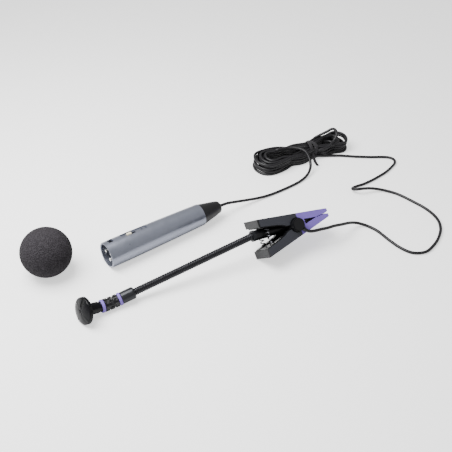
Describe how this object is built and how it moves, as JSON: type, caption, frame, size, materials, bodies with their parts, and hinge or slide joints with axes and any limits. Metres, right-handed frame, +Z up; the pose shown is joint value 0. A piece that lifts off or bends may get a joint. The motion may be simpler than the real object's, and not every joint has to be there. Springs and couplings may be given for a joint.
{
  "type": "clip-on gooseneck microphone",
  "caption": "Clip-on microphone with a bendable gooseneck, spring clamp, rubber shock mount, hanked cord, three-pin power adapter and separate foam windscreen, laid out on a table.",
  "frame": {"origin": "on the table below the middle of the microphone and its windscreen (cord, hank and adapter not counted)", "axes": "+X along the neck from the head to the clamp, +Y towards the hank, +Z up from the table"},
  "size_m": [0.3178, 0.1661, 0.0352],
  "materials": {
    "dark_plastic": "gloss",
    "gauze": "matte",
    "steel": "satin",
    "violet_rubber": "matte",
    "black_rubber": "matte",
    "black_plastic": "satin",
    "dark_metal": "satin",
    "wound_steel": "satin",
    "slate_shell": "satin",
    "grey_rubber": "stippled",
    "cord_jacket": "satin",
    "tie_strap": "matte",
    "satin_metal": "satin",
    "bright_metal": "polished",
    "switch_plastic": "gloss",
    "board": "satin",
    "foam": "open cell"
  },
  "bodies": {
    "base": {"pivot_pin": "steel", "pin_cap": "black_plastic", "cord_knob": "black_plastic", "upper_frame": "black_plastic", "upper_shell": "slate_shell", "upper_jaw_cover": "violet_rubber", "upper_end_pad": "black_rubber", "front_spring": "steel", "rear_spring": "steel", "strain_relief": "black_rubber", "cord_mic_side": "cord_jacket", "cord_hank": "cord_jacket", "cord_plug_side": "cord_jacket", "cord_tie": "tie_strap", "xlr_shell": "satin_metal", "adapter_barrel": "satin_metal", "xlr_insert": "black_plastic", "contact_pin_1": "bright_metal", "contact_pin_2": "bright_metal", "contact_pin_3": "bright_metal", "insert_screw": "steel", "switch_plate": "satin_metal", "circuit_board": "board", "cord_chuck": "steel", "rear_boot": "black_rubber"},
    "lower_half": {"lower_frame": "black_plastic", "lower_shell": "slate_shell", "lower_jaw_cover": "violet_rubber", "lower_end_pad": "grey_rubber"},
    "neck_base": {"swivel_arm": "black_plastic", "neck_sleeve": "black_plastic", "sleeve_collar": "dark_metal"},
    "link_1": {"neck_link_1": "wound_steel"},
    "link_2": {"neck_link_2": "wound_steel"},
    "link_3": {"neck_link_3": "wound_steel"},
    "link_4": {"neck_link_4": "wound_steel"},
    "link_5": {"neck_link_5": "wound_steel"},
    "head": {"neck_ferrule": "dark_metal", "rear_ring": "violet_rubber", "mount_core": "black_plastic", "shock_mount": "black_rubber", "front_ring": "violet_rubber", "capsule_housing": "dark_plastic", "capsule": "steel", "capsule_cap": "dark_plastic", "cap_gauze": "gauze"},
    "bass_switch": {"switch_knob": "switch_plastic"},
    "windscreen": {"windscreen": "foam"}
  },
  "joints": [
    {"name": "clamp_open", "type": "hinge", "parent": "base", "child": "lower_half", "pos_m": [0.07305, -0.0336, 0.01702], "axis": [0, 0.7771, -0.6293], "range_deg": [0, 13], "stiffness_Nm_per_rad": 0.12, "springref_deg": -28.65, "deforming": ["front_spring", "rear_spring"]},
    {"name": "neck_swivel", "type": "hinge", "parent": "base", "child": "neck_base", "pos_m": [0.07305, -0.0336, 0.01702], "axis": [0, 0.7771, -0.6293], "range_deg": [-12, 0]},
    {"name": "neck_turn_1", "type": "hinge", "parent": "neck_base", "child": "link_1", "pos_m": [0.04155, -0.03134, 0.01981], "axis": [-0.1477, 0.0119, 0.989], "range_deg": [-4, 25]},
    {"name": "neck_lift_1", "type": "hinge", "parent": "link_1", "child": "link_2", "pos_m": [0.0246, -0.02998, 0.01726], "axis": [0.0802, 0.9968, 0], "range_deg": [0, 25]},
    {"name": "neck_turn_2", "type": "hinge", "parent": "link_2", "child": "link_3", "pos_m": [0.00764, -0.02861, 0.01471], "axis": [-0.1477, 0.0119, 0.989], "range_deg": [-4, 25]},
    {"name": "neck_lift_2", "type": "hinge", "parent": "link_3", "child": "link_4", "pos_m": [-0.00931, -0.02725, 0.01216], "axis": [0.0802, 0.9968, 0], "range_deg": [0, 25]},
    {"name": "neck_turn_3", "type": "hinge", "parent": "link_4", "child": "link_5", "pos_m": [-0.02627, -0.02588, 0.00962], "axis": [-0.1477, 0.0119, 0.989], "range_deg": [-4, 25]},
    {"name": "neck_lift_3", "type": "hinge", "parent": "link_5", "child": "head", "pos_m": [-0.04322, -0.02452, 0.00707], "axis": [0.0802, 0.9968, 0], "range_deg": [0, 25]},
    {"name": "bass_switch_slide", "type": "slide", "parent": "base", "child": "bass_switch", "axis": [0.9979, 0.0645, 0], "range_m": [0, 0.0032]},
    {"name": "windscreen_lift", "type": "slide", "parent": "base", "child": "windscreen", "axis": [0, 0, 1], "range_m": [0, 0.08]}
  ]
}
